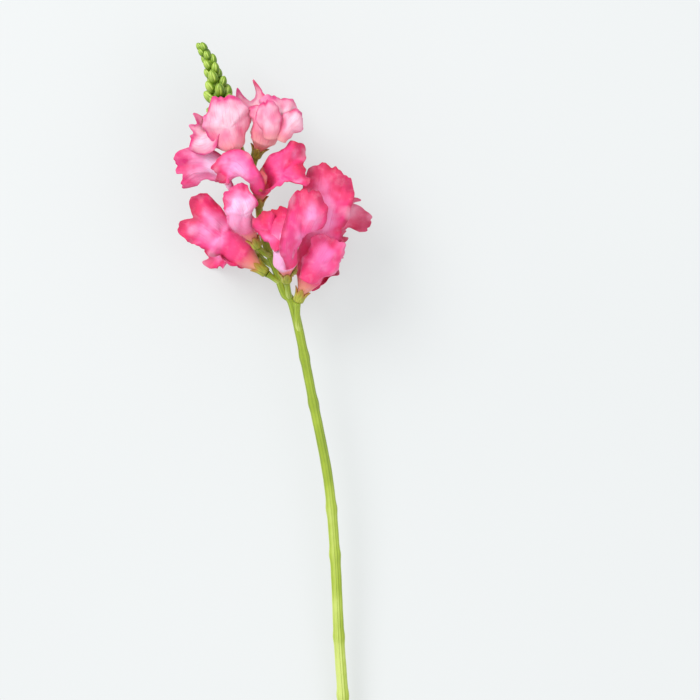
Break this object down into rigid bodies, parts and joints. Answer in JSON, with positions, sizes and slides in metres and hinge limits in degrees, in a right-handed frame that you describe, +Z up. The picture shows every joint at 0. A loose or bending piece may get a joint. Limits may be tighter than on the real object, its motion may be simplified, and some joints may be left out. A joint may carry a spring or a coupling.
{
  "type": "snapdragon stem",
  "caption": "Cut flower stem lying on a surface, with two-lipped pink blooms on short stalks and a tapering spike of closed green buds.",
  "frame": {"origin": "middle of the underside of the object's box, on the surface that the stem lies on", "axes": "+Y along the stem from its cut end to the bud tip, +Z up from the surface"},
  "size_m": [0.0894, 0.3819, 0.0618],
  "materials": {
    "stem_green": "fresh green stalk, satin, with faint ridges along it",
    "bud_green": "closed green buds, satin",
    "petal_pale": "soft pale pink petal with a deeper rim",
    "petal_light": "soft light pink petal with a deep pink rim",
    "petal_pink": "soft hot pink petal",
    "petal_mauve": "soft mauve pink petal",
    "stamen_yellow": "matt yellow stamens"
  },
  "bodies": {
    "root": {"stem": "stem_green", "bud_spike": "bud_green", "bloom_01": "petal_pale", "bloom_02": "petal_pale", "bloom_03": "petal_pink", "bloom_04": "petal_light", "bloom_05": "petal_pink", "bloom_06": "petal_pink", "bloom_07": "petal_pink", "bloom_08": "petal_mauve", "bloom_09": "petal_pink", "bloom_10": "petal_pink", "stamens_01": "stamen_yellow", "stamens_02": "stamen_yellow", "stamens_03": "stamen_yellow", "stamens_04": "stamen_yellow", "stamens_05": "stamen_yellow", "stamens_06": "stamen_yellow", "stamens_07": "stamen_yellow", "stamens_08": "stamen_yellow", "stamens_09": "stamen_yellow", "stamens_10": "stamen_yellow"}
  },
  "joints": []
}
